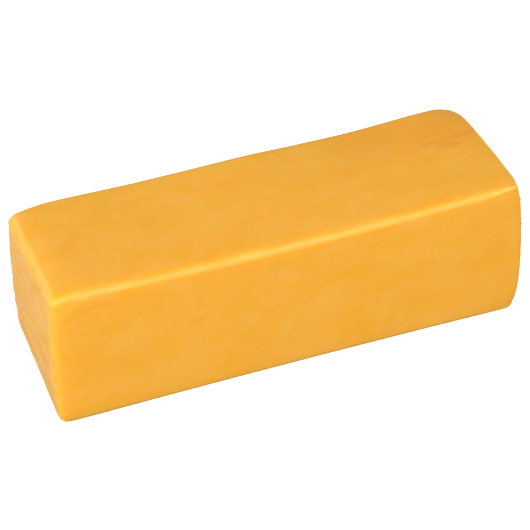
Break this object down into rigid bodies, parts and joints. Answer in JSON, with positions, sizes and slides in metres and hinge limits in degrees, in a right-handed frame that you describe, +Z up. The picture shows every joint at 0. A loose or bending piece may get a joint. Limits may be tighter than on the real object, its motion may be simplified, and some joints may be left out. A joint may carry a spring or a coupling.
{
  "type": "cheddar block",
  "caption": "Whole long loaf of orange cheddar, square in section, with soft rounded edges, slightly uneven faces and a cut end.",
  "frame": {"origin": "centre of the loaf's footprint, on the table it rests on", "axes": "+X along the loaf, from the cut left end to the right end; -Y towards the long front face; +Z up"},
  "size_m": [0.2762, 0.0936, 0.092],
  "materials": {
    "cheese": "smooth, slightly waxy cheese"
  },
  "bodies": {
    "root": {"cheese_block": "cheese"}
  },
  "joints": []
}
